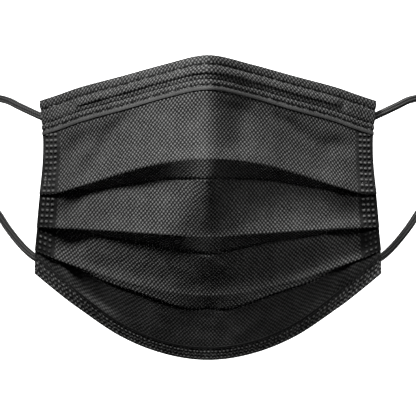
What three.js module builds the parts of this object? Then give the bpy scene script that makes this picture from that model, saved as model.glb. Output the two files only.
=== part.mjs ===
// A pleated procedure mask, opened as it is worn, with two elastic ear loops.
// Millimetres. The outside faces -Y, the hollow opens to +Y, +Z is up, and the mask is the same
// on both sides of X = 0. The origin is the nose seat, on the inner face under the nose wire.

import * as THREE from 'three';

// Driving dimensions.
const clothWall = 1.0;        // all plies of the nonwoven, pressed together
const foldPitch = 1.4;        // from ply to ply where a pleat lies flat
const pleatEase = 0.7;        // the pleats change fastest near the middle, so shares are eased
const seamGap = 0.3;          // between two pieces that lie on each other
const bindingWall = 1.0;
const wireWall = 0.7;
const elasticDiameter = 3.3;
const loopSides = 8;
const loopSteps = 32;
const lipHeight = 3.2;        // how far a binding reaches up or down the inner face
const wireReach = 0.7;        // the wire's half length, as a share of the half width
const channelReach = 0.75;    // where its channel starts to flatten out
const channelEnd = 0.8;       // and where it is flat
const sheetColumns = 40;      // even, so that one column lies on the middle
const wireColumns = 28;       // the same spacing over the wire's shorter reach

// Where each column of the tables below lies, as a share of the half width.
const stations = { centre: 0, quarter: 0.25, half: 0.5, cheek: 0.75, weld: 0.9, side: 1 };
const names = Object.keys(stations);

// The two edges and the three outer folds, from the top: the height of the line at each station.
const lineHeights = [
  { line: 'top', centre: 6.2, quarter: 3.1, half: -1.4, cheek: -5.8, weld: -9.3, side: -11.5 },
  { line: 'upper', centre: -36.6, quarter: -38.1, half: -42.3, cheek: -48.1, weld: -51.3, side: -51.6 },
  { line: 'middle', centre: -69.9, quarter: -69.5, half: -68.3, cheek: -67.2, weld: -66.7, side: -66.4 },
  { line: 'lower', centre: -96.1, quarter: -94.3, half: -90.1, cheek: -83.9, weld: -79.9, side: -76.8 },
  { line: 'bottom', centre: -125.5, quarter: -122.7, half: -114.9, cheek: -101.8, weld: -92.8, side: -86.5 },
];

// The same lines seen from above: how far back each lies at each station.
const lineDepths = [
  { line: 'top', centre: -0.5, quarter: 13, half: 21.5, cheek: 29.5, weld: 34.5, side: 38 },
  { line: 'upper', centre: -11, quarter: 2.5, half: 13.5, cheek: 23.5, weld: 29.5, side: 34 },
  { line: 'middle', centre: 5, quarter: 11.5, half: 19, cheek: 27, weld: 32.5, side: 36.5 },
  { line: 'lower', centre: 21, quarter: 22.5, half: 26, cheek: 31, weld: 36, side: 39.5 },
  { line: 'bottom', centre: 37.5, quarter: 37.6, half: 38, cheek: 38, weld: 39.8, side: 41.5 },
];

// Each line's half width, and its bend round the middle as shares of that: how far it is flat, and
// the rounding where the flat turns into its slopes. With no flat it is creased, as over the nose.
const linePlans = [
  { line: 'top', halfWidth: 75.5, flat: 0, rounding: 0.05 },
  { line: 'upper', halfWidth: 75.5, flat: 0, rounding: 0.06 },
  { line: 'middle', halfWidth: 76.9, flat: 0.22, rounding: 0.06 },
  { line: 'lower', halfWidth: 78, flat: 0.2, rounding: 0.08 },
  { line: 'bottom', halfWidth: 78.2, flat: 0.2, rounding: 0.2 },
];

// Each pleat's inner ply at each station. First its turn from hanging straight down, in degrees:
// 90 points straight in, and 180 lies folded flat behind the panel above.
const pleatTurns = [
  { pleat: 'upper', centre: 12, quarter: 40, half: 52, cheek: 55, weld: 165, side: 180 },
  { pleat: 'middle', centre: 31, quarter: 34, half: 38, cheek: 45, weld: 165, side: 180 },
  { pleat: 'lower', centre: 40, quarter: 28, half: 6, cheek: 15, weld: 160, side: 180 },
];

// Then how much of it is drawn out, between its two bends.
const pleatPlies = [
  { pleat: 'upper', centre: 7.6, quarter: 9.2, half: 8.1, cheek: 3.5, weld: 3, side: 8.1 },
  { pleat: 'middle', centre: 8.1, quarter: 5.8, half: 2.3, cheek: 1, weld: 4, side: 8.1 },
  { pleat: 'lower', centre: 6.6, quarter: 6.4, half: 2.1, cheek: 1, weld: 4, side: 8.1 },
];

// Each panel between its folds: how far it hangs hollow, how far its side edges are drawn in, and
// how many strips it has.
const panels = [
  { panel: 'nose', hollow: 1.3, waist: 1.5, strips: 8 },
  { panel: 'mouth', hollow: 0.7, waist: 0, strips: 5 },
  { panel: 'lip', hollow: 1.4, waist: 0, strips: 5 },
  { panel: 'chin', hollow: 0, waist: 0, strips: 6 },
];

// A smooth curve through a table's row at a share of the half width. A level one has no slope at
// the middle.
function rowAt(row, share, level) {
  const reach = Math.min(share, 1);
  const next = Math.max(1, names.findIndex((name) => stations[name] >= reach));
  const slope = (index) => {
    if (index === 0 && level) return 0;
    const before = names[Math.max(index - 1, 0)];
    const after = names[Math.min(index + 1, names.length - 1)];
    return (row[after] - row[before]) / (stations[after] - stations[before]);
  };
  const start = names[next - 1];
  const end = names[next];
  const span = stations[end] - stations[start];
  const t = (reach - stations[start]) / span;
  const rise = row[end] - row[start];
  const bendOut = t * (1 - t) * (1 - t) * (slope(next - 1) * span - rise);
  const bendIn = t * t * (1 - t) * (rise - slope(next) * span);
  return row[start] + rise * t + bendOut + bendIn;
}

// How far out u is from the middle of a line that is flat there and rounded into its slopes.
function softReach(u, flat, rounding) {
  const raised = (share) => (Math.hypot(share - flat, rounding) + Math.hypot(share + flat, rounding)) / 2
    - Math.hypot(flat, rounding);
  return raised(u) / raised(1);
}

function heightAt(index, u) {
  return rowAt(lineHeights[index], Math.abs(u), true);
}

function depthAt(index, u, flat) {
  return rowAt(lineDepths[index], softReach(u, flat, linePlans[index].rounding), false);
}

// How far in towards the hollow and how far up each step of a pleat lies from its outer fold: a bend,
// half the inner ply, the other half and a bend back.
function pleatShape(index, name) {
  const turn = THREE.MathUtils.degToRad(pleatTurns[index - 1][name]);
  const bend = [turn / 2, foldPitch];
  const halfPly = [turn, pleatPlies[index - 1][name] / 2];
  let inward = 0;
  let up = 0;
  return [bend, halfPly, halfPly, bend].map(([angle, length]) => {
    inward += Math.sin(angle) * length;
    up -= Math.cos(angle) * length;
    return { inward, up };
  });
}

// The same for each step as rows across the stations.
function pleatRows(index) {
  const shapes = names.map((name) => pleatShape(index, name));
  const rowOf = (step, way) => Object.fromEntries(names.map((name, i) => [name, shapes[i][step][way]]));
  return shapes[0].map((_, step) => ({ inward: rowOf(step, 'inward'), up: rowOf(step, 'up') }));
}

const pleats = linePlans.map((_, index) => (pleatTurns[index - 1] ? pleatRows(index) : []));

// The half width of a panel at a height. What lies behind the panel above is as wide as that one is.
function halfWidthAt(index, u, height) {
  const top = heightAt(index, u);
  if (index > 0 && height > top) return halfWidthAt(index - 1, u, height);
  const t = (top - height) / (top - heightAt(index + 1, u));
  const drawnIn = panels[index].waist * Math.sin(Math.PI * t) * Math.pow(u, 4);
  return THREE.MathUtils.lerp(linePlans[index].halfWidth, linePlans[index + 1].halfWidth, t) - drawnIn;
}

// The points of a pleat, whose line loses its flat on the way in, and where the last of them lies
// from the outer fold.
function pleatBelow(index, u) {
  const points = [];
  const reached = { inward: 0, up: 0 };
  const share = Math.pow(Math.abs(u), pleatEase);
  pleats[index].forEach((row, step, rows) => {
    reached.inward = rowAt(row.inward, share, true);
    reached.up = rowAt(row.up, share, true);
    const flat = linePlans[index].flat * (1 - (step + 1) / rows.length);
    const height = heightAt(index, u) + reached.up;
    const depth = depthAt(index, u, flat) + reached.inward;
    points.push(new THREE.Vector3(halfWidthAt(index, u, height) * u, depth, height));
  });
  return { points, reached };
}

// The point at the share t down a panel, which starts where the pleat above it ends.
function panelPoint(index, reached, u, t) {
  const { lerp } = THREE.MathUtils;
  const flat = linePlans[index + 1].flat * t;
  const depth = lerp(depthAt(index, u, flat) + reached.inward, depthAt(index + 1, u, flat), t);
  const hollow = panels[index].hollow * Math.sin(Math.PI * t * t) * (1 - Math.pow(u, 4));
  const height = lerp(heightAt(index, u) + reached.up, heightAt(index + 1, u), t);
  return new THREE.Vector3(halfWidthAt(index, u, height) * u, depth + hollow, height);
}

// The cloth's middle surface at u, from the top edge to the bottom edge.
function clothSection(u) {
  const points = [panelPoint(0, pleatBelow(0, u).reached, u, 0)];
  panels.forEach((panel, index) => {
    const pleat = pleatBelow(index, u);
    points.push(...pleat.points);
    for (let strip = 1; strip <= panel.strips; strip += 1) {
      points.push(panelPoint(index, pleat.reached, u, strip / panel.strips));
    }
  });
  return points;
}

// The columns of a sheet that runs across the mask out to a share of its half width.
function columnsOf(sectionAt, reach, count) {
  const columns = [];
  for (let column = 0; column <= count; column += 1) {
    columns.push(sectionAt(reach * (2 * column / count - 1)));
  }
  return columns;
}

// One closed wall of even thickness about a middle surface given as columns of points.
// At a bend the two faces are mitred, so that the wall keeps its thickness round a fold.
function wallAbout(columns, wall) {
  const lastColumn = columns.length - 1;
  const lastRow = columns[0].length - 1;
  const stripNormal = (column, row) => {
    const before = columns[Math.max(column - 1, 0)];
    const after = columns[Math.min(column + 1, lastColumn)];
    const across = after[row].clone().add(after[row + 1]).sub(before[row]).sub(before[row + 1]);
    const down = columns[column][row + 1].clone().sub(columns[column][row]);
    return down.cross(across).normalize();
  };
  const half = (column, row) => {
    const above = stripNormal(column, Math.max(row - 1, 0));
    const below = stripNormal(column, Math.min(row, lastRow - 1));
    return above.clone().add(below).multiplyScalar(wall / 2 / (1 + above.dot(below)));
  };
  const outer = [];
  const inner = [];
  columns.forEach((column, c) => column.forEach((point, row) => {
    const offset = half(c, row);
    outer.push(point.clone().add(offset));
    inner.push(point.clone().sub(offset));
  }));
  const at = (column, row) => column * (lastRow + 1) + row;
  const innerStart = outer.length;
  const faces = [];
  const quad = (a, b, c, d) => faces.push(a, b, c, a, c, d);
  for (let c = 0; c < lastColumn; c += 1) {
    for (let row = 0; row < lastRow; row += 1) {
      const corners = [at(c, row), at(c, row + 1), at(c + 1, row + 1), at(c + 1, row)];
      if (c < lastColumn / 2) corners.push(corners.shift());  // the diagonals are mirrored too
      quad(...corners);
      const behind = corners.map((corner) => corner + innerStart);
      faces.push(behind[0], behind[2], behind[1], behind[0], behind[3], behind[2]);
    }
    quad(at(c + 1, 0), at(c + 1, 0) + innerStart, at(c, 0) + innerStart, at(c, 0));
    quad(at(c, lastRow), at(c, lastRow) + innerStart, at(c + 1, lastRow) + innerStart, at(c + 1, lastRow));
  }
  for (let row = 0; row < lastRow; row += 1) {
    quad(at(0, row), at(0, row) + innerStart, at(0, row + 1) + innerStart, at(0, row + 1));
    const end = at(lastColumn, row);
    quad(end + 1, end + 1 + innerStart, end + innerStart, end);
  }
  const geometry = new THREE.BufferGeometry();
  geometry.setAttribute('position', new THREE.Float32BufferAttribute(
    [...outer, ...inner].flatMap((point) => point.toArray()), 3));
  geometry.setIndex(faces);
  geometry.computeVertexNormals();
  return geometry;
}

// A point on the first or last panel: a distance square to the mask's edge, down the cloth (or up
// it, on the last panel), and so far outward from its middle surface.
function edgePoint(atTop, u, distance, outward) {
  const index = atTop ? 0 : panels.length - 1;
  const spot = (share, along) => {
    const { reached } = pleatBelow(index, share);
    const start = panelPoint(index, reached, share, 0);
    const length = start.distanceTo(panelPoint(index, reached, share, 1));
    return panelPoint(index, reached, share, atTop ? along / length : 1 - along / length);
  };
  const stepDown = atTop ? 0.5 : -0.5;
  const stepAcross = 0.01;
  const frameAt = (along) => {
    const down = spot(u, along + stepDown).sub(spot(u, along - stepDown)).normalize();
    const across = spot(Math.min(u + stepAcross, 1), along).sub(spot(Math.max(u - stepAcross, -1), along));
    return down.cross(across.normalize());
  };
  const along = distance / frameAt(0).length();
  return spot(u, along).addScaledVector(frameAt(along).normalize(), outward);
}

// A binding lies on the outer face, wraps round the edge and ends in a short lip on the inner face.
const bindingLie = clothWall / 2 + seamGap + bindingWall / 2;
const wireLie = clothWall / 2 + seamGap + wireWall / 2;
const channelLie = wireLie + wireWall / 2 + seamGap + bindingWall / 2;
const edgeLie = -(seamGap + bindingWall / 2);

const topBindingFold = [
  { spot: 'lip', distance: lipHeight, outward: -bindingLie },
  { spot: 'inner corner', distance: edgeLie, outward: -bindingLie },
  { spot: 'outer corner', distance: edgeLie, outward: bindingLie },
  { spot: 'above the channel', distance: 2.4, outward: bindingLie },
  { spot: 'channel top', distance: 3.3, outward: bindingLie, raised: true },
  { spot: 'channel bottom', distance: 7.7, outward: bindingLie, raised: true },
  { spot: 'below the channel', distance: 8.6, outward: bindingLie },
  { spot: 'cut edge', distance: 14.4, outward: bindingLie },
];

const bottomBindingFold = [
  { spot: 'cut edge', distance: 5.8, outward: bindingLie },
  { spot: 'outer corner', distance: edgeLie, outward: bindingLie },
  { spot: 'inner corner', distance: edgeLie, outward: -bindingLie },
  { spot: 'lip', distance: lipHeight, outward: -bindingLie },
];

const wireFold = [
  { spot: 'top', distance: 3.8, outward: wireLie },
  { spot: 'bottom', distance: 7.2, outward: wireLie },
];

// The columns of a strip that follows an edge, from its folded section.
function stripColumns(fold, atTop, reach, count) {
  return columnsOf((u) => fold.map((corner) => {
    const open = 1 - THREE.MathUtils.smoothstep(Math.abs(u), channelReach, channelEnd);
    const lift = corner.raised ? (channelLie - bindingLie) * open : 0;
    return edgePoint(atTop, u, corner.distance, corner.outward + lift);
  }), reach, count);
}

// The wearer's left ear loop, from its weld behind the top corner, out and back round the ear, to its
// weld behind the bottom corner. The right one is its mirror image.
const loopRoute = [
  [65.4, 35.6, -18.6], [70.0, 37.6, -18.4], [74.5, 39.8, -17.3], [78.2, 41.6, -15.7],
  [82.2, 44.1, -13.8], [86.4, 47.4, -11.8], [90.9, 51.4, -9.5], [95.6, 56.5, -8.1],
  [99.4, 62.4, -7.6], [102.9, 69.6, -8.8], [105.8, 77.2, -12.6], [107.9, 84.2, -18.6],
  [109.0, 89.4, -26.6], [109.0, 91.6, -35.4], [107.6, 89.8, -44.0], [104.8, 84.8, -51.4],
  [101.0, 77.0, -57.4], [97.0, 68.8, -62.0], [93.0, 61.8, -67.0], [88.4, 55.6, -72.2],
  [84.0, 50.6, -76.6], [80.3, 46.9, -79.6], [77.2, 44.4, -81.4], [73.4, 43.2, -81.8],
  [69.0, 41.8, -81.8],
];

function earLoop(side) {
  const points = loopRoute.map(([x, y, z]) => new THREE.Vector3(side * x, y, z));
  const outline = [];
  for (let corner = 0; corner < loopSides; corner += 1) {
    const angle = (2 * Math.PI * (corner + 0.5)) / loopSides;
    outline.push(new THREE.Vector2(Math.cos(angle), Math.sin(angle)).multiplyScalar(elasticDiameter / 2));
  }
  return new THREE.ExtrudeGeometry(new THREE.Shape(outline), {
    extrudePath: new THREE.CatmullRomCurve3(points, false, 'centripetal'),
    steps: loopSteps,
  });
}

const mask = new THREE.Group();
mask.name = 'procedure_mask';

function addPiece(name, geometry, material) {
  const piece = new THREE.Mesh(geometry, material);
  piece.name = name;
  mask.add(piece);
}

const nonwoven = { color: 0x2c2c2c, roughness: 0.85, metalness: 0 };
const hem = { color: 0x262626, roughness: 0.8, metalness: 0 };
const coatedWire = { color: 0x3a3a3a, roughness: 0.5, metalness: 0 };
const elastic = { color: 0x3c3c3c, roughness: 0.75, metalness: 0 };

addPiece('mask_body', wallAbout(columnsOf(clothSection, 1, sheetColumns), clothWall),
  new THREE.MeshStandardMaterial(nonwoven));
addPiece('top_binding', wallAbout(stripColumns(topBindingFold, true, 1, sheetColumns), bindingWall),
  new THREE.MeshStandardMaterial(hem));
addPiece('nose_wire', wallAbout(stripColumns(wireFold, true, wireReach, wireColumns), wireWall),
  new THREE.MeshStandardMaterial(coatedWire));
addPiece('bottom_binding', wallAbout(stripColumns(bottomBindingFold, false, 1, sheetColumns), bindingWall),
  new THREE.MeshStandardMaterial(hem));
addPiece('ear_loop_left', earLoop(1), new THREE.MeshStandardMaterial(elastic));
addPiece('ear_loop_right', earLoop(-1), new THREE.MeshStandardMaterial(elastic));

export default mask;
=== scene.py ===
import math
import bmesh
import bpy
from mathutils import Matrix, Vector, geometry, noise


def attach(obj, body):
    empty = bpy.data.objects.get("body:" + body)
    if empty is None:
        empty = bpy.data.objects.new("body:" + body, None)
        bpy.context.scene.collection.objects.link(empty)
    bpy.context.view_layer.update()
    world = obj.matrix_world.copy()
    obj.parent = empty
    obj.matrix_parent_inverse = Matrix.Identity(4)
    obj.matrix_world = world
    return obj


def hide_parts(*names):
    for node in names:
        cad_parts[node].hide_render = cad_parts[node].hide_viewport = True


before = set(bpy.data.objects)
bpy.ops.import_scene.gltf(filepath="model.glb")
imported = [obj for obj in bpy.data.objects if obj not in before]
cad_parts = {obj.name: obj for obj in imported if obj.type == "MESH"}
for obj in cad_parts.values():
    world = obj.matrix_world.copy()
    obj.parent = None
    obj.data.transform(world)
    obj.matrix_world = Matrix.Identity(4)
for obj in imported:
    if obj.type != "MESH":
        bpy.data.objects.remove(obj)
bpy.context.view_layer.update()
mm = 0.001  # the tables below are in millimetres, in the part's own frame


# ---- camera and lights

view = {"distance": 0.9, "height": -0.0584, "sidePlane": 0.0375, "frameWidth": 0.1872}


def makeCamera():
    data = bpy.data.cameras.new("camera")
    data.lens = data.sensor_width * view["distance"] / view["frameWidth"]
    camera = bpy.data.objects.new("camera", data)
    camera.location = (0, view["sidePlane"] - view["distance"], view["height"])
    camera.rotation_euler = (math.radians(90), 0, 0)
    bpy.context.collection.objects.link(camera)
    bpy.context.scene.camera = camera
    print("camera done")


room = {"strength": 0.009}
lamps = {  # the key and the fill are narrow, so that they leave the paper to the third
    "key": {
        "at": (-0.27, -0.32, 0.45), "aim": (0.015, 0, -0.012),
        "size": 0.24, "power": 0.245, "spread": 24,
    },
    "fill": {
        "at": (0.35, -0.42, 0.28), "aim": (0.085, 0, -0.09),
        "size": 0.2, "power": 0.035, "spread": 18,
    },
    "backdrop": {
        "at": (0, 0.8, 0.6), "aim": (0, 2.4, -0.05),
        "size": 1.2, "power": 150, "spread": 150,
    },
}


def makeLamps():
    for name, lamp in lamps.items():
        data = bpy.data.lights.new(name, "AREA")
        data.shape = "DISK"
        data.size = lamp["size"]
        data.energy = lamp["power"]
        data.spread = math.radians(lamp["spread"])
        light = bpy.data.objects.new(name, data)
        light.location = lamp["at"]
        aim = Vector(lamp["aim"]) - Vector(lamp["at"])
        light.rotation_euler = aim.to_track_quat("-Z", "Y").to_euler()
        bpy.context.collection.objects.link(light)
    world = bpy.data.worlds.new("room")
    world.use_nodes = True
    background = world.node_tree.nodes["Background"]
    background.inputs["Color"].default_value = (1, 1, 1, 1)
    background.inputs["Strength"].default_value = room["strength"]
    bpy.context.scene.world = world
    bpy.context.scene.view_settings.view_transform = "Standard"
    print("lamps done")


# ---- shader maths

class Wire:  # a socket of a material's tree, on which sums read as sums
    def __init__(self, tree, socket=None):
        self.tree = tree
        self.socket = socket

    def node(self, kind, settings=None, sockets=None, output=0):
        made = self.tree.nodes.new("ShaderNode" + kind)
        for name, value in (settings or {}).items():
            setattr(made, name, value)
        for name, value in (sockets or {}).items():
            if isinstance(value, Wire):
                self.tree.links.new(value.socket, made.inputs[name])
            else:
                made.inputs[name].default_value = value
        return Wire(self.tree, made.outputs[output]) if made.outputs else None

    def maths(self, operation, *values):
        return self.node("Math", {"operation": operation}, dict(enumerate(values)))

    def __add__(self, other):
        return self.maths("ADD", self, other)

    def __radd__(self, other):
        return self.maths("ADD", other, self)

    def __sub__(self, other):
        return self.maths("SUBTRACT", self, other)

    def __rsub__(self, other):
        return self.maths("SUBTRACT", other, self)

    def __mul__(self, other):
        return self.maths("MULTIPLY", self, other)

    def __rmul__(self, other):
        return self.maths("MULTIPLY", other, self)

    def cosine(self):
        return self.maths("COSINE", self)

    def between(self, low, high):  # 0 below low, 1 above high, smooth between them
        ranged = {"interpolation_type": "SMOOTHSTEP"}
        return self.node("MapRange", ranged, {"Value": self, "From Min": low, "From Max": high})


def startMaterial(name):
    material = bpy.data.materials.new(name)
    material.use_nodes = True
    material.node_tree.nodes.clear()
    return material, Wire(material.node_tree)


warmth = 0.985  # a grey's share of blue


def grey(value):
    return (value, value, value * warmth, 1)


def blendColours(tree, share, first, second):
    return tree.node("Mix", {"data_type": "RGBA"}, {0: share, 6: first, 7: second}, 2)


def endMaterial(tree, colour, roughness, height, look):
    bump = {"Height": height, "Strength": look["bumpStrength"], "Distance": look["bumpDepth"] * mm}
    normal = tree.node("Bump", sockets=bump)
    surface = tree.node("BsdfPrincipled", sockets={
        "Base Color": colour,
        "Roughness": roughness,
        "Normal": normal,
        "Sheen Weight": look["sheen"],
        "Sheen Roughness": look["sheenRoughness"],
        "Specular IOR Level": look["gloss"],
    })
    tree.node("OutputMaterial", sockets={"Surface": surface})


# ---- small sums

def blend(start, end, t):
    return start + (end - start) * t


def smoothStep(low, high, value):
    t = min(max((value - low) / (high - low), 0), 1)
    return t * t * (3 - 2 * t)


def plateau(value, halfWidth, edge):  # 1 within a half width of 0, and 0 an edge further out
    return 1 - smoothStep(halfWidth, halfWidth + edge, abs(value))


def hump(value, width):  # 1 at 0, and rounded down to nothing about two widths out
    return math.exp(-(value / width) ** 2)


def evenly(start, end, step):  # places from start to end, about a step apart
    count = max(1, round(abs(end - start) / step))
    return [blend(start, end, i / count) for i in range(count + 1)]


# ---- making a mesh

markNames = ("pressed", "smoothed", "level")  # dark pits and stitches, and painted shade along the bottom hem's cut edge; no emboss; and how light it then is, with painted highlight on the weld bars
plain = (0, 0, 0)


def gridMesh(name, across, down, pointAt, closed=False, downs=None):
    # a grid with its vertices moved to pointAt(column, row), which gives a point and its marks;
    # its UV is the flat cloth in millimetres
    columns, rows = len(across) - 1, len(down) - 1
    bm = bmesh.new()
    uvLayer = bm.loops.layers.uv.verify()
    marks = [bm.verts.layers.float.new(mark) for mark in markNames]
    bmesh.ops.create_grid(bm, x_segments=columns, y_segments=rows, size=1, calc_uvs=True)
    for face in bm.faces:
        for loop in face.loops:
            uv = loop[uvLayer].uv
            column, row = round(uv.x * columns), round(uv.y * rows)
            loop[uvLayer].uv = across[column], downs[column][row] if downs else down[row]
    for vertex in bm.verts:
        column = round((vertex.co.x + 1) / 2 * columns)
        row = round((vertex.co.y + 1) / 2 * rows)
        point, values = pointAt(column, row)
        vertex.co = point * mm
        for mark, value in zip(marks, values):
            vertex[mark] = value
    bmesh.ops.reverse_faces(bm, faces=bm.faces)
    if closed:  # the first and last columns are one, and both ends are shut
        bmesh.ops.remove_doubles(bm, verts=bm.verts, dist=1e-7)
        bmesh.ops.holes_fill(bm, edges=[edge for edge in bm.edges if edge.is_boundary])
        bmesh.ops.recalc_face_normals(bm, faces=bm.faces)
    mesh = bpy.data.meshes.new(name)
    bm.to_mesh(mesh)
    bm.free()
    mesh.uv_layers[0].name = "cloth"
    for polygon in mesh.polygons:
        polygon.use_smooth = True
    piece = bpy.data.objects.new(name, mesh)
    bpy.context.collection.objects.link(piece)
    return piece


def giveWall(sheet, wall):
    solidify = sheet.modifiers.new("wall", "SOLIDIFY")
    solidify.thickness = wall * mm
    solidify.offset = 0


def finishPiece(piece, material, slot, *nodes):
    piece.data.materials.append(material)
    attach(piece, "root")
    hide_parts(*nodes)
    print(piece.name, "done")


# ---- ear loops

# The wearer's left ear loop, from its weld behind the top corner, out and back round the ear, to
# its weld behind the bottom corner. The right one is its mirror image.
loopRoute = (
    (65.4, 35.6, -18.6), (70.0, 37.6, -18.4), (74.5, 39.8, -17.3), (78.2, 41.6, -15.7),
    (82.2, 44.1, -13.8), (86.4, 47.4, -11.8), (90.9, 51.4, -9.5), (95.6, 56.5, -8.1),
    (99.4, 62.4, -7.6), (102.9, 69.6, -8.8), (105.8, 77.2, -12.6), (107.9, 84.2, -18.6),
    (109.0, 89.4, -26.6), (109.0, 91.6, -35.4), (107.6, 89.8, -44.0), (104.8, 84.8, -51.4),
    (101.0, 77.0, -57.4), (97.0, 68.8, -62.0), (93.0, 61.8, -67.0), (88.4, 55.6, -72.2),
    (84.0, 50.6, -76.6), (80.3, 46.9, -79.6), (77.2, 44.4, -81.4), (73.4, 43.2, -81.8),
    (69.0, 41.8, -81.8),
)

elastic = {
    "diameter": 3.3,
    "length": 176.4,
    "topExit": (74.5, 39.8, -17.3),
    "sides": 40,
    "stepsPerSpan": 20,
    "ribs": 7, "ribDepth": 0.18,            # knitted wales along the cord
    "stitch": 1.05, "stitchDepth": 0.08,    # and the rows of stitches across it
    "weldEnd": 8,                           # how far from its ends it is flattened by the welds
    "weldSquash": 0.45, "weldSpread": 1.35,
    "tip": 0.4,                             # its share of that spread at the very end
}


def loopPath(side):
    route = [Vector((side * x, y, z)) for x, y, z in loopRoute]
    path = []
    for i in range(len(route) - 1):
        start, end = route[i], route[i + 1]
        before, after = route[max(i - 1, 0)], route[min(i + 2, len(route) - 1)]
        steps = elastic["stepsPerSpan"] + 1
        span = geometry.interpolate_bezier(
            start, start + (end - before) / 6, end - (after - start) / 6, end, steps)
        path += span if i == 0 else span[1:]
    return path


def makeLoop(side, name, node, material):
    path = loopPath(side)
    places = [0]
    for before, point in zip(path, path[1:]):
        places.append(places[-1] + (point - before).length)
    sides = elastic["sides"]
    angles = [360 * i / sides for i in range(sides + 1)]
    up = Vector((0, 0, 1))

    def pointAt(column, row):
        place = places[row]
        tangent = path[min(row + 1, len(path) - 1)] - path[max(row - 1, 0)]
        flatWay = tangent.cross(up).normalized()  # level, and square to the cloth at the welds
        tallWay = flatWay.cross(tangent).normalized()
        angle = math.radians(angles[column % sides])
        fromEnd = min(place, places[-1] - place)
        roundness = smoothStep(0, elastic["weldEnd"], fromEnd)
        rib = elastic["ribDepth"] * math.cos(elastic["ribs"] * angle)
        stitchTurn = 2 * math.pi * place / elastic["stitch"] + elastic["ribs"] * angle / 2
        knit = elastic["stitchDepth"] * math.cos(stitchTurn)
        radius = elastic["diameter"] / 2 - elastic["ribDepth"] / 2 + (rib + knit) * roundness
        squash = blend(elastic["weldSquash"], 1, roundness)
        spread = blend(elastic["weldSpread"], 1, roundness) * min(1, elastic["tip"] + fromEnd)
        across = flatWay * (math.cos(angle) * radius * squash)
        tall = tallWay * (math.sin(angle) * radius * spread)
        return path[row] + across + tall, plain

    loop = gridMesh(name, angles, places, pointAt, closed=True)
    finishPiece(loop, material, "elastic", node)
    return loop


elasticLook = {
    "ground": 0.006, "raised": 0.21, "roughness": 0.6, "gloss": 0.35,
    "sheen": 0.15, "sheenRoughness": 0.4, "bumpStrength": 0.5, "bumpDepth": 0.15,
    "wales": 0.27, "stitches": 0.3, "fibres": 0.4,  # the shares of its pattern
}


def makeElasticMaterial():
    look = elasticLook
    material, tree = startMaterial("knitted elastic")
    place = tree.node("UVMap", {"uv_map": "cloth"})
    around = tree.node("SeparateXYZ", sockets={0: place}, output=0)
    along = tree.node("SeparateXYZ", sockets={0: place}, output=1)
    wales = (around * math.radians(elastic["ribs"])).cosine()
    slant = around * math.radians(elastic["ribs"] / 2)
    stitches = (along * (2 * math.pi / elastic["stitch"]) + slant).cosine()
    knit = wales * look["wales"] + stitches * look["stitches"] + 0.5
    fibres = tree.node("TexNoise", {"noise_dimensions": "2D"}, {"Vector": place, "Scale": 2.5, "Detail": 3})
    share = knit.between(0.2, 1) * 0.8 + fibres * look["fibres"] - 0.15
    colour = blendColours(tree, share, grey(look["ground"]), grey(look["raised"]))
    endMaterial(tree, colour, fibres * 0.2 + (look["roughness"] - 0.1), knit + fibres * 0.5, look)
    return material


# ---- the mask's form, close to the part's

# u is the share across the cloth: -1 at its right side edge, 0 at the middle and 1 at its left.
stations = {"centre": 0, "quarter": 0.25, "half": 0.5, "cheek": 0.75, "weld": 0.9, "side": 1}
stationNames = list(stations)
stationShares = list(stations.values())

# The height of each edge and outer fold at each station, out from the middle.
lineHeights = (
    {"line": "top", "centre": 6.7, "quarter": 3.6, "half": -0.9,
     "cheek": -5.3, "weld": -8.8, "side": -11},
    {"line": "upper", "centre": -36.8, "quarter": -38.3, "half": -42.5,
     "cheek": -48.3, "weld": -51.5, "side": -51.8},
    {"line": "middle", "centre": -70.1, "quarter": -69.7, "half": -68.5,
     "cheek": -67.4, "weld": -66.9, "side": -66.6},
    {"line": "lower", "centre": -96.3, "quarter": -94.5, "half": -90.3,
     "cheek": -84.1, "weld": -80.1, "side": -77},
    {"line": "bottom", "centre": -126, "quarter": -123.2, "half": -115.4,
     "cheek": -102.3, "weld": -93.3, "side": -87},
)

# The same lines from above: how far back each lies at each station.
lineDepths = (
    {"line": "top", "centre": -0.5, "quarter": 13, "half": 21.5, "cheek": 29.5, "weld": 34.5, "side": 38},
    {"line": "upper", "centre": -11, "quarter": 2.5, "half": 13.5, "cheek": 23.5, "weld": 29.5, "side": 34},
    {"line": "middle", "centre": 5, "quarter": 11.5, "half": 19, "cheek": 27, "weld": 32.5, "side": 36.5},
    {"line": "lower", "centre": 21, "quarter": 22.5, "half": 26, "cheek": 31, "weld": 36, "side": 39.5},
    {"line": "bottom", "centre": 37.5, "quarter": 37.6, "half": 38, "cheek": 38, "weld": 39.8, "side": 41.5},
)

# Each line's half width, and its bend at the middle: flat, then rounded into its slopes.
linePlans = (
    {"line": "top", "halfWidth": 75.5, "flat": 0, "rounding": 0.05},
    {"line": "upper", "halfWidth": 75.5, "flat": 0, "rounding": 0.06},
    {"line": "middle", "halfWidth": 76.9, "flat": 0.22, "rounding": 0.06},
    {"line": "lower", "halfWidth": 78, "flat": 0.2, "rounding": 0.08},
    {"line": "bottom", "halfWidth": 78.2, "flat": 0.2, "rounding": 0.2},
)

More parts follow.
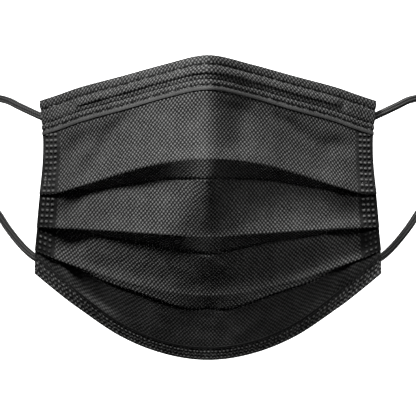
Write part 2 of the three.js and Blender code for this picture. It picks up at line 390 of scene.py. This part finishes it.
# Each pleat's inner ply: its turn from hanging straight down (90 is straight in, 180 flat behind),
# and how much of it is drawn out. Both change fastest near the middle, so their shares are eased.
pleatTurns = (
    {"pleat": "upper", "centre": 12, "quarter": 41, "half": 52, "cheek": 55, "weld": 165, "side": 180},
    {"pleat": "middle", "centre": 31, "quarter": 34, "half": 38, "cheek": 45, "weld": 165, "side": 180},
    {"pleat": "lower", "centre": 40, "quarter": 28, "half": 4, "cheek": 15, "weld": 160, "side": 180},
)
pleatPlies = (
    {"pleat": "upper", "centre": 8.2, "quarter": 9.9, "half": 8.8, "cheek": 4.2, "weld": 3, "side": 8},
    {"pleat": "middle", "centre": 8.8, "quarter": 6.5, "half": 3, "cheek": 0.8, "weld": 4, "side": 8},
    {"pleat": "lower", "centre": 7.2, "quarter": 6.9, "half": 2.4, "cheek": 0.6, "weld": 4, "side": 8},
)
pleatTucks = (  # how far the cloth then goes straight in, behind the ply
    {"pleat": "upper", "centre": 0.2, "quarter": 0.4, "half": 0.2, "cheek": 0.2, "weld": 0.2, "side": 0},
    {"pleat": "middle", "centre": 0.1, "quarter": 0.1, "half": 0.1, "cheek": 0.1, "weld": 0.2, "side": 0},
    {"pleat": "lower", "centre": 0.3, "quarter": 0.6, "half": 1.2, "cheek": 0.8, "weld": 0.2, "side": 0},
)
pleatEase = 0.7

# Each panel between its folds: how far it hangs hollow above its lower fold, how much of that is
# left at its middle, how far its side edges draw in, its cloth length and its rows of faces.
panels = (
    {"panel": "nose", "hollow": 1.3, "middle": 1, "waist": 1.5, "length": 43, "rows": 102},
    {"panel": "mouth", "hollow": 0.7, "middle": 0.8, "waist": 0, "length": 24, "rows": 57},
    {"panel": "lip", "hollow": 1.4, "middle": 0.6, "waist": 0, "length": 22, "rows": 52},
    {"panel": "chin", "hollow": 0, "middle": 1, "waist": 0, "length": 24, "rows": 34},
)

cloth = {
    "wall": 0.5,            # all plies together
    "foldPitch": 0.65,      # from ply to ply where a pleat lies flat
    "ply": 10,              # a pleat's inner ply, flat
    "bendRows": 4,
    "plyRows": 6,
    "tuckRows": 2,
    "halfWidth": 88.5,      # flat
    "weldBand": 11,         # the fine columns at each side
    "weldColumns": 31,
    "middleColumns": 94,
}


def rowAt(row, share, level):  # a smooth curve through a table's row, level at the middle or not
    reach = min(share, 1)
    after = 1
    while stationShares[after] < reach and after < len(stationShares) - 1:
        after += 1

    def slope(i):
        if i == 0 and level:
            return 0
        left, right = max(i - 1, 0), min(i + 1, len(stationShares) - 1)
        rise = row[stationNames[right]] - row[stationNames[left]]
        return rise / (stationShares[right] - stationShares[left])

    span = stationShares[after] - stationShares[after - 1]
    t = (reach - stationShares[after - 1]) / span
    start, end = row[stationNames[after - 1]], row[stationNames[after]]
    rise = end - start
    bendOut = t * (1 - t) ** 2 * (slope(after - 1) * span - rise)
    bendIn = t ** 2 * (1 - t) * (rise - slope(after) * span)
    return start + rise * t + bendOut + bendIn


def softReach(u, flat, rounding):  # the share out from the middle of a line that is flat there
    def raised(share):
        both = math.hypot(share - flat, rounding) + math.hypot(share + flat, rounding)
        return both / 2 - math.hypot(flat, rounding)
    return raised(u) / raised(1)


def heightAt(index, u):
    return rowAt(lineHeights[index], abs(u), True)


def depthAt(index, u, flat):
    return rowAt(lineDepths[index], softReach(u, flat, linePlans[index]["rounding"]), False)


def pleatShape(index, name):  # how far in and up each row of a pleat lies from its outer fold
    turn = math.radians(pleatTurns[index - 1][name])
    bends = cloth["bendRows"]
    bendStep = math.pi * cloth["foldPitch"] / 2 / bends
    bend = [(turn * (i + 0.5) / bends, bendStep) for i in range(bends)]
    ply = [(turn, pleatPlies[index - 1][name] / cloth["plyRows"])] * cloth["plyRows"]
    tuck = [(math.pi / 2, pleatTucks[index - 1][name] / cloth["tuckRows"])] * cloth["tuckRows"]
    shape, inward, up = [], 0, 0
    for angle, step in bend + ply + tuck + bend[::-1]:
        inward += math.sin(angle) * step
        up -= math.cos(angle) * step
        shape.append((inward, up))
    return shape


def pleatTable(index, way):  # a row for each step of a pleat, of how far it lies that way
    shapes = {name: pleatShape(index, name) for name in stationNames}
    steps = range(len(shapes["centre"]))
    return [{name: shape[step][way] for name, shape in shapes.items()} for step in steps]


pleatTables = {index: (pleatTable(index, 0), pleatTable(index, 1)) for index in (1, 2, 3)}


def halfWidthAt(index, u, height):  # of a panel; behind the panel above it is as wide as that one
    top = heightAt(index, u)
    if index and height > top:
        return halfWidthAt(index - 1, u, height)
    t = (top - height) / (top - heightAt(index + 1, u))
    drawn = panels[index]["waist"] * math.sin(math.pi * t) * u ** 4
    return blend(linePlans[index]["halfWidth"], linePlans[index + 1]["halfWidth"], t) - drawn


def pleatBelow(index, u):  # a pleat's points, and how far in and up the last of them lies
    points, inward, up = [], 0, 0
    plan, share = linePlans[index], abs(u) ** pleatEase
    rows = list(zip(*pleatTables[index])) if index else []
    for i, (inRow, upRow) in enumerate(rows):
        inward, up = rowAt(inRow, share, True), rowAt(upRow, share, True)
        flat = plan["flat"] * (1 - (i + 1) / len(rows))
        height = heightAt(index, u) + up
        width = halfWidthAt(index, u, height)
        points.append(Vector((width * u, depthAt(index, u, flat) + inward, height)))
    return points, inward, up


def panelColumn(index, u, inward, up):  # a function of the share down a panel at u
    top, bottom = heightAt(index, u) + up, heightAt(index + 1, u)
    panel = panels[index]
    share = blend(panel["middle"], 1, smoothStep(0, 0.3, abs(u))) * (1 - u ** 4)

    def pointAt(t):
        flat = linePlans[index + 1]["flat"] * t
        depth = blend(depthAt(index, u, flat) + inward, depthAt(index + 1, u, flat), t)
        height = blend(top, bottom, t)
        hollow = panel["hollow"] * math.sin(math.pi * t * t) * share
        return Vector((halfWidthAt(index, u, height) * u, depth + hollow, height))
    return pointAt


def clothSection(u):  # the cloth's middle surface at u, from the top edge to the bottom edge
    points = []
    for index, panel in enumerate(panels):
        pleat, inward, up = pleatBelow(index, u)
        pointAt = panelColumn(index, u, inward, up)
        points += pleat if index else [pointAt(0)]
        points += [pointAt((i + 1) / panel["rows"]) for i in range(panel["rows"])]
    return points


def clothRows():  # each row's place down the flat cloth, its part, and its place down that
    rows = [{"down": 0, "part": "nose", "place": 0}]

    def addRows(part, length, count):
        above = rows[-1]["down"]
        steps = [length * (i + 1) / count for i in range(count)]
        rows.extend({"down": above + step, "part": part, "place": step} for step in steps)

    bend = math.pi * cloth["foldPitch"] / 2
    for index, panel in enumerate(panels):
        if index:
            addRows("bend", bend, cloth["bendRows"])
            addRows(pleatPlies[index - 1]["pleat"] + " ply", cloth["ply"], cloth["plyRows"])
            addRows("tuck", 1, cloth["tuckRows"])
            addRows("bend", bend, cloth["bendRows"])
        addRows(panel["panel"], panel["length"], panel["rows"])
    return rows


def clothColumns():  # each column's place across the flat cloth, close together in the weld bands
    inner = cloth["halfWidth"] - cloth["weldBand"]
    band = [cloth["weldBand"] * i / cloth["weldColumns"] for i in range(cloth["weldColumns"])]
    middle = [inner * (2 * i / cloth["middleColumns"] - 1) for i in range(cloth["middleColumns"] + 1)]
    left = [place - cloth["halfWidth"] for place in band]
    return left + middle + [-place for place in reversed(left)]


# ---- the side welds and the soft folds of the cloth

weld = {
    "columns": (2.5, 5, 7.5),                   # of pits, from the side edge
    "pitch": 2.55, "halfSize": 0.45, "edge": 0.4, "depth": 0.5,
    "barHalf": 0.25, "barEdge": 0.4, "barHeight": 0.3,  # the cloth stands up between two pits
    "barHighlight": 1,                              # and how light it is there: a painted highlight, where the bar's top catches the light
    "smoothTo": 10.6,                           # the width of the band that has no emboss
    "weak": 0.85, "uneven": 0.5, "patch": 7,    # how strong the weld is, which varies in patches
    "strengths": {"nose": 1, "mouth": 1, "lip": 0.8},       # its share of that on each panel
    "levels": {"nose": 0.45, "mouth": 0.36, "lip": 0.1},    # how light the smooth band is there: darker down the mask, and on the lip that dark is painted shade for the hollow beside the weld
}
# The chin's emboss, whose lightness is partly painted highlight, is evened out to a flat level, more so from
# its middle out, and how light it then is.
chinEvening = {"from": -50, "to": 50, "smoothed": 0.65, "level": 0.52}


def ripple(x, y, size):  # uneven, within about 1 either way
    return noise.noise(Vector((x / size, y / size, size)))


def pressMarks(across, down, part):  # the marks of the welds and of the chin's evened emboss, and how far they move the cloth in
    fromEdge = cloth["halfWidth"] - abs(across)
    if part == "chin":
        flattened = smoothStep(chinEvening["from"], chinEvening["to"], abs(across))
        return (0, flattened * chinEvening["smoothed"], chinEvening["level"]), 0
    if fromEdge > cloth["weldBand"] or part not in weld["strengths"]:
        return plain, 0
    patchy = weld["weak"] + weld["uneven"] * ripple(across, down, weld["patch"])
    strength = weld["strengths"][part] * patchy
    half = weld["pitch"] / 2
    nearest = min(abs(fromEdge - column) for column in weld["columns"])
    fromRow = abs((down + half) % weld["pitch"] - half)
    inColumn = plateau(nearest, weld["halfSize"], weld["edge"]) * min(strength, 1)
    pit = inColumn * plateau(fromRow, weld["halfSize"], weld["edge"])
    bar = inColumn * plateau(fromRow - half, weld["barHalf"], weld["barEdge"])
    smoothed = plateau(fromEdge, weld["smoothTo"] - 1, 1)
    # the band's lightness, painted darker on the lip for the shade in the hollow beside the weld
    light = weld["levels"][part]
    # the bars between pits are painted light, a painted highlight where their tops catch the light
    level = blend(light, weld["barHighlight"], bar)
    return (pit, smoothed, level), pit * weld["depth"] - bar * weld["barHeight"]


# Soft folds: the part, the middle of each on the flat cloth, its turn, size and how deep it
# goes in, or stands out where that is below 0.
softFolds = (
    {"part": "nose", "across": -1, "down": 32, "turn": 90, "long": 30, "wide": 11, "deep": 1.5},
    {"part": "nose", "across": -56, "down": 31, "turn": 40, "long": 20, "wide": 8, "deep": 2.6},
    {"part": "nose", "across": -47, "down": 20, "turn": 48, "long": 10, "wide": 3.5, "deep": 1},
    {"part": "nose", "across": -70, "down": 25, "turn": 20, "long": 12, "wide": 5, "deep": 1.6},
    {"part": "nose", "across": 52, "down": 31, "turn": -38, "long": 18, "wide": 8, "deep": 2.2},
    {"part": "nose", "across": 40, "down": 21, "turn": -25, "long": 16, "wide": 3.5, "deep": 1.1},
    {"part": "nose", "across": 66, "down": 25, "turn": 22, "long": 11, "wide": 4, "deep": 1.3},
    {"part": "nose", "across": 66, "down": 35, "turn": -60, "long": 9, "wide": 5, "deep": 0.9},
    {"part": "nose", "across": 14, "down": 33, "turn": 82, "long": 24, "wide": 8, "deep": 2.6},
    {"part": "mouth", "across": -71, "down": 13, "turn": 55, "long": 12, "wide": 6, "deep": 3},
    {"part": "mouth", "across": 72, "down": 13, "turn": -55, "long": 12, "wide": 6, "deep": 2.8},
    {"part": "lip", "across": -71, "down": 12, "turn": 55, "long": 11, "wide": 6, "deep": 3.4},
    {"part": "lip", "across": 72, "down": 12, "turn": -55, "long": 11, "wide": 6, "deep": 3},
    {"part": "chin", "across": -72, "down": 12, "turn": -68, "long": 13, "wide": 4, "deep": -1.6},
    {"part": "chin", "across": -64, "down": 9, "turn": -60, "long": 11, "wide": 5, "deep": 2.6},
    {"part": "chin", "across": -54, "down": 10, "turn": -62, "long": 10, "wide": 5, "deep": 2.4},
    {"part": "chin", "across": 73, "down": 12, "turn": 68, "long": 13, "wide": 4, "deep": -2},
    {"part": "chin", "across": 64, "down": 9, "turn": 60, "long": 11, "wide": 5, "deep": 2.6},
    {"part": "chin", "across": 55, "down": 10, "turn": 64, "long": 10, "wide": 5, "deep": 2.6},
)
# And unevenness all over, in three sizes.
uneven = (
    {"size": 13, "deep": 0.5},
    {"size": 6, "deep": 0.2},
    {"size": 2.6, "deep": 0.07},
)


def foldDepth(across, row):
    depth = sum(layer["deep"] * ripple(across, row["down"], layer["size"]) for layer in uneven)
    for fold in softFolds:
        if row["part"] == fold["part"]:
            turn = math.radians(fold["turn"])
            dx, dy = across - fold["across"], fold["down"] - row["place"]
            along = dx * math.cos(turn) + dy * math.sin(turn)
            aside = dy * math.cos(turn) - dx * math.sin(turn)
            depth += fold["deep"] * hump(along, fold["long"]) * hump(aside, fold["wide"])
    return depth


panelLengths = {panel["panel"]: panel["length"] for panel in panels}
hold = {
    "pleat": 0.3, "reach": 5,   # how free it is at a pleat, and how far from one it is all free
    "top": (-1, 7),             # where it comes free, from the top binding's cut edge on
    "bottom": (0, 6),           # and from the bottom binding's
}


def freedom(row):  # how free the cloth is to fold: little by the pleats, and not under the bindings
    if row["part"] not in panelLengths:
        return hold["pleat"]
    fromEnd = panelLengths[row["part"]] - row["place"]
    if row["part"] == "chin":
        low, high = [bottomBinding["width"] + place for place in hold["bottom"]]
        return smoothStep(low, high, fromEnd)
    free = blend(hold["pleat"], 1, smoothStep(0, hold["reach"], fromEnd))
    if row["part"] == "nose":
        low, high = [topBinding["width"] + place for place in hold["top"]]
        free *= smoothStep(low, high, row["place"])
    return free


def makeBody(material):
    across, rows = clothColumns(), clothRows()
    sections = [clothSection(place / cloth["halfWidth"]) for place in across]
    anchors, last = [], 0
    for row in rows:  # the nearest fold: a panel's own lower one, and for a pleat the one above it
        if row["part"] in panelLengths:
            last = max(index for index, other in enumerate(rows) if other["part"] == row["part"])
        anchors.append(last)
    downs = []
    for section in sections:  # each row's place down the cloth, by the lengths really shown
        lengths = [0]
        for before, after in zip(section, section[1:]):
            lengths.append(lengths[-1] + (after - before).length)
        fromAnchor = [length - lengths[anchor] for length, anchor in zip(lengths, anchors)]
        downs.append([rows[anchor]["down"] + length for length, anchor in zip(fromAnchor, anchors)])

    def pointAt(column, row):
        place = across[column]
        marks, inward = pressMarks(place, downs[column][row], rows[row]["part"])
        inward += foldDepth(place, rows[row]) * freedom(rows[row])
        return sections[column][row] + Vector((0, inward, 0)), marks

    body = gridMesh("pleated_cloth", across, [row["down"] for row in rows], pointAt, downs=downs)
    giveWall(body, cloth["wall"])
    finishPiece(body, material, "nonwoven", "mask_body")
    rows[-1]["down"] * mm
    return body


clothLook = {
    "across": 1.9, "down": 2.05,        # the emboss pitch
    "stray": 0.4,                       # how far the emboss strays from its even pitch
    "lean": 0.07, "leanReach": 25,      # how much it runs along one diagonal, mirrored
    # the raised emboss points are painted lighter than the ground: partly the pattern, partly painted
    # highlight for the glint on their glossy tops; the hems' looks below carry the same
    "ground": 0.004, "raised": 0.22, "pressed": 0.003,
    "roughness": 0.7, "gloss": 0.3,
    "sheen": 0.06, "sheenRoughness": 0.45,
    "bumpStrength": 1, "bumpDepth": 0.3,
    "fibres": 1.5, "haze": 0.2, "patches": 0.25,  # how much each makes it uneven in colour
}
topHemLook = dict(clothLook, stray=0.6, ground=0.01, raised=0.245)
bottomHemLook = dict(topHemLook, raised=0.27)


def makeClothMaterial(name, look):
    material, tree = startMaterial(name)
    place = tree.node("UVMap", {"uv_map": "cloth"})
    marks = [tree.node("Attribute", {"attribute_name": mark}, output=2) for mark in markNames]
    pressed, smoothed, level = marks
    flat = {"noise_dimensions": "2D"}
    strays = tree.node("TexNoise", flat, {"Vector": place, "Scale": 0.3, "Detail": 1}, 1)
    nudge = {0: strays, 1: (look["stray"] * 2, look["stray"] * 2, 0), 2: place}
    nudged = tree.node("VectorMath", {"operation": "MULTIPLY_ADD"}, nudge)
    across = tree.node("SeparateXYZ", sockets={0: nudged}, output=0)
    down = tree.node("SeparateXYZ", sockets={0: nudged}, output=1)
    turn = 2 * math.pi
    acrossTurn, downTurn = across * (turn / look["across"]), down * (turn / look["down"])
    rightward = across.between(-look["leanReach"], look["leanReach"])
    rightward = rightward * (2 * look["lean"]) + (0.5 - look["lean"])
    rising, falling = (acrossTurn + downTurn).cosine(), (acrossTurn - downTurn).cosine()
    emboss = rising + (falling - rising) * rightward
    fibres = tree.node("TexNoise", flat, {"Vector": place, "Scale": 1.6, "Detail": 4, "Roughness": 0.6})
    patches = tree.node("TexNoise", flat, {"Vector": place, "Scale": 0.12, "Detail": 2})
    # the emboss's lighter tops are partly painted highlight; they are evened to a set level where smoothed,
    # and taken away at pits, stitches and the painted cut-edge shade
    points = ((emboss * 0.5 + 0.5) * (1 - smoothed) + level * smoothed) * (1 - pressed)
    share = points.between(0.35, 1) * (fibres * look["fibres"] + 0.25) + 0.02
    share = share + (fibres - 0.5) * look["haze"] + (patches - 0.5) * look["patches"]
    colour = blendColours(tree, share, grey(look["ground"]), grey(look["raised"]))
    # pits and stitches are dark, and so is the painted shade along the bottom hem's cut edge
    colour = blendColours(tree, pressed, colour, grey(look["pressed"]))
    roughness = fibres * 0.2 + (look["roughness"] - 0.1) - pressed * 0.25
    endMaterial(tree, colour, roughness, points + fibres * 0.5, look)
    return material


# ---- bindings and nose wire

topBinding = {
    "wall": 0.3,
    "lie": 0.5,             # from the cloth's middle surface to the binding's
    "edge": 0.8,            # how far it wraps beyond the cloth's edge
    "width": 14.9,          # from the cloth's edge to the binding's cut edge
    "lip": 3.2,
    "channel": {
        "top": 4.6, "bottom": 7.6, "rise": 1.3, "fall": 0.4,
        "raised": 0.95, "uneven": 0.35, "patch": 9,
        "reach": 0.74, "end": 0.8,
        "dent": 0.5, "dentLong": 1.5, "dentTall": 2,
    },
    "stitchRows": (3.45, 10, 12.7),
    "puff": 0.25,           # between the rows of stitches
    "stitchWidth": 0.14, "stitchEdge": 0.26, "groove": 0.3,
    "cutLevel": 0.6,        # the strip along the cut edge is smooth, and this light
    "cutShade": 0,          # painted shade along the cut edge, for the shadow of the step where the cloth goes behind it
}
bottomBinding = {
    "wall": 0.3, "lie": 0.5, "edge": 0.8, "width": 6.2, "lip": 3.2,
    "channel": None,
    "stitchRows": (1.2, 2.75, 4.4),
    "puff": 0.1,
    "stitchWidth": 0.15, "stitchEdge": 0.3, "groove": 0.1,
    # the bottom hem's cut edge gets full painted shade, for the dark gap where the chin cloth goes behind it
    "cutLevel": 0.4, "cutShade": 1,
}
stitch = {
    "pitch": 2.75, "halfLength": 0.65, "edge": 0.35, "depth": 0.3,
    "grooveWidth": 0.55, "puffWidth": 1.2,
    "strip": (0.5, 0.8),    # where the smooth strip sets in, outward from the last row
    "cut": (0.8, 0.4),      # where the painted shade sets in, inward from the cut edge
    "step": 0.36, "rowStep": 0.3, "lipStep": 0.6,
}
noseWire = {  # its top and bottom edges are down from the cloth's edge, and it lies in front of the cloth
    "top": 4.2, "bottom": 7.4, "wall": 0.45, "lie": 0.6, "reach": 0.7, "columns": 120,
}


def edgeSurface(index, across):
    # for each column, a function of the distance from the mask's edge, square to it, and how far
    # outward: the point on the first panel (down from the top) or the last (up from the bottom)
    step, reach = 0.004, 0.4    # how far apart the points are that give its slopes
    down = index == 0

    def lineOf(u):
        _, inward, up = pleatBelow(index, u)
        pointAt = panelColumn(index, u, inward, up)
        length = (pointAt(1) - pointAt(0)).length
        return lambda distance: pointAt(distance / length if down else 1 - distance / length)

    columns = []
    for place in across:
        u = place / cloth["halfWidth"]
        columns.append((lineOf(max(u - step, -1)), lineOf(u), lineOf(min(u + step, 1))))

    def frameOf(column, distance):
        before, here, after = columns[column]
        low, high = here(distance - reach), here(distance + reach)
        fall = (high - low) if down else (low - high)
        return fall.normalized().cross((after(distance) - before(distance)).normalized())

    slants = [frameOf(column, 0).length for column in range(len(columns))]

    def pointAt(column, distance, outward):
        along = distance / slants[column]
        return columns[column][1](along) + frameOf(column, along).normalized() * outward
    return pointAt


def channelLift(channel, across, distance):  # the wire's channel: a ridge with a dent at its ends
    if channel is None:
        return 0
    u = abs(across) / cloth["halfWidth"]
    rise = smoothStep(channel["top"] - channel["rise"], channel["top"] + channel["rise"], distance)
    fall = smoothStep(channel["bottom"] - channel["fall"], channel["bottom"] + channel["fall"], distance)
    present = 1 - smoothStep(channel["reach"], channel["end"], u)
    raised = channel["raised"] * (1 + channel["uneven"] * ripple(across, 0, channel["patch"]))
    middle = (channel["top"] + channel["bottom"]) / 2
    dent = hump((u - channel["end"]) * cloth["halfWidth"], channel["dentLong"])
    dent *= hump(distance - middle, channel["dentTall"])
    return (rise - fall) * raised * present - dent * channel["dent"]


def stitchMarks(form, across, distance):  # marks, and how far the binding is pulled in
    nearest = min(abs(distance - row) for row in form["stitchRows"])
    half = stitch["pitch"] / 2
    fromDash = (across + half) % stitch["pitch"] - half
    dash = plateau(fromDash, stitch["halfLength"], stitch["edge"])
    dash *= plateau(nearest, form["stitchWidth"], form["stitchEdge"])
    groove = hump(nearest, stitch["grooveWidth"])
    low, high = [form["stitchRows"][-1] + place for place in stitch["strip"]]
    strip = smoothStep(low, high, distance)
    puff = form["puff"] * (1 - hump(nearest, stitch["puffWidth"]))
    # painted shade along the cut edge, standing in for the shadow of the step behind it
    low, high = [form["width"] - place for place in stitch["cut"]]
    cut = smoothStep(low, high, distance) * form["cutShade"]
    marks = (max(dash, cut), strip, form["cutLevel"])
    return marks, dash * stitch["depth"] + groove * form["groove"] - puff


def makeBinding(name, index, form, material, node):
    across = evenly(-cloth["halfWidth"], cloth["halfWidth"], stitch["step"])
    surface = edgeSurface(index, across)
    fold = [(distance, form["lie"], True) for distance in evenly(form["width"], 0, stitch["rowStep"])]
    for turn in range(20, 161, 20):
        angle = math.radians(turn)
        fold.append((-form["edge"] * math.sin(angle), form["lie"] * math.cos(angle), False))
    fold += [(distance, -form["lie"], False) for distance in evenly(0, form["lip"], stitch["lipStep"])]
    places = [0]
    for before, after in zip(fold, fold[1:]):
        places.append(places[-1] + math.hypot(after[0] - before[0], after[1] - before[1]))
    if index == 0:  # rows run down the cloth, so that the faces point outwards
        fold.reverse()
        places = [places[-1] - place for place in reversed(places)]

    def pointAt(column, row):
        distance, outward, facing = fold[row]
        place = across[column]
        if not facing:
            return surface(column, distance, outward), plain
        marks, pulled = stitchMarks(form, place, distance)
        settled = smoothStep(0, 1, distance) * smoothStep(form["width"], form["width"] - 1, distance)
        lift = channelLift(form["channel"], place, distance) - pulled * settled
        return surface(column, distance, outward + lift), marks

    binding = gridMesh(name, across, places, pointAt)
    giveWall(binding, form["wall"])
    finishPiece(binding, material, "binding", node)
    return binding


def makeNoseWire(material):
    reach = noseWire["reach"] * cloth["halfWidth"]
    across = evenly(-reach, reach, 2 * reach / noseWire["columns"])
    surface = edgeSurface(0, across)
    middle = (noseWire["top"] + noseWire["bottom"]) / 2
    half = (noseWire["bottom"] - noseWire["top"]) / 2
    angles = [30 * i for i in range(13)]

    def pointAt(column, row):
        angle = math.radians(angles[column % 12])
        width = half * math.copysign(abs(math.cos(angle)) ** 0.5, math.cos(angle))
        thick = noseWire["wall"] / 2 * math.sin(angle)
        return surface(row, middle + width, noseWire["lie"] + thick), plain

    wire = gridMesh("wire_strip", angles, across, pointAt, closed=True)
    finishPiece(wire, material, "wire_coating", "nose_wire")
    return wire


wireLook = {
    "ground": 0.03, "raised": 0.05, "roughness": 0.5, "gloss": 0.4,
    "sheen": 0, "sheenRoughness": 0.5, "bumpStrength": 0.2, "bumpDepth": 0.05,
}


def makeWireMaterial():
    material, tree = startMaterial("coated wire")
    place = tree.node("UVMap", {"uv_map": "cloth"})
    scuffs = tree.node("TexNoise", {"noise_dimensions": "2D"}, {"Vector": place, "Scale": 0.8, "Detail": 5})
    colour = blendColours(tree, scuffs, grey(wireLook["ground"]), grey(wireLook["raised"]))
    endMaterial(tree, colour, scuffs * 0.3 + (wireLook["roughness"] - 0.15), scuffs, wireLook)
    return material


# ---- stage

stage = {"floor": -0.9, "width": 7, "front": -3, "back": 2.4, "sweep": 0.6, "height": 3.2}


def makeStage():
    bm = bmesh.new()
    left = bm.verts.new((-stage["width"] / 2, stage["front"], stage["floor"]))
    right = bm.verts.new((stage["width"] / 2, stage["front"], stage["floor"]))
    edge = [bm.edges.new((left, right))]

    def extrude(move):
        made = bmesh.ops.extrude_edge_only(bm, edges=edge)
        verts = [part for part in made["geom"] if isinstance(part, bmesh.types.BMVert)]
        bmesh.ops.translate(bm, verts=verts, vec=move)
        edge[:] = [part for part in made["geom"] if isinstance(part, bmesh.types.BMEdge)]

    extrude((0, stage["back"] - stage["sweep"] - stage["front"], 0))
    centre = (0, stage["back"] - stage["sweep"], stage["floor"] + stage["sweep"])
    turn = bmesh.ops.spin(bm, geom=edge, cent=centre, axis=(1, 0, 0), angle=math.radians(90), steps=16)
    edge[:] = [part for part in turn["geom_last"] if isinstance(part, bmesh.types.BMEdge)]
    extrude((0, 0, stage["height"]))
    mesh = bpy.data.meshes.new("paper")
    bm.to_mesh(mesh)
    bm.free()
    for polygon in mesh.polygons:
        polygon.use_smooth = True
    paper = bpy.data.objects.new("paper_sweep", mesh)
    bpy.context.collection.objects.link(paper)
    material, tree = startMaterial("pale paper")
    grain = tree.node("TexNoise", sockets={"Vector": tree.node("TexCoord", output=3), "Scale": 40.0})
    colour = blendColours(tree, grain, (0.37, 0.37, 0.37, 1), (0.39, 0.39, 0.39, 1))
    surface = tree.node("BsdfPrincipled", sockets={"Base Color": colour, "Roughness": 0.9})
    tree.node("OutputMaterial", sockets={"Surface": surface})
    mesh.materials.append(material)
    print("stage done")


makeCamera()
elasticMaterial = makeElasticMaterial()
makeLoop(1, "elastic_left", "ear_loop_left", elasticMaterial)
makeLoop(-1, "elastic_right", "ear_loop_right", elasticMaterial)
makeLamps()
makeStage()
clothMaterial = makeClothMaterial("embossed nonwoven", clothLook)
makeBody(clothMaterial)
topHemMaterial = makeClothMaterial("stitched top nonwoven", topHemLook)
bottomHemMaterial = makeClothMaterial("stitched bottom nonwoven", bottomHemLook)
makeBinding("stitched_top_hem", 0, topBinding, topHemMaterial, "top_binding")
makeBinding("stitched_bottom_hem", 3, bottomBinding, bottomHemMaterial, "bottom_binding")
makeNoseWire(makeWireMaterial())
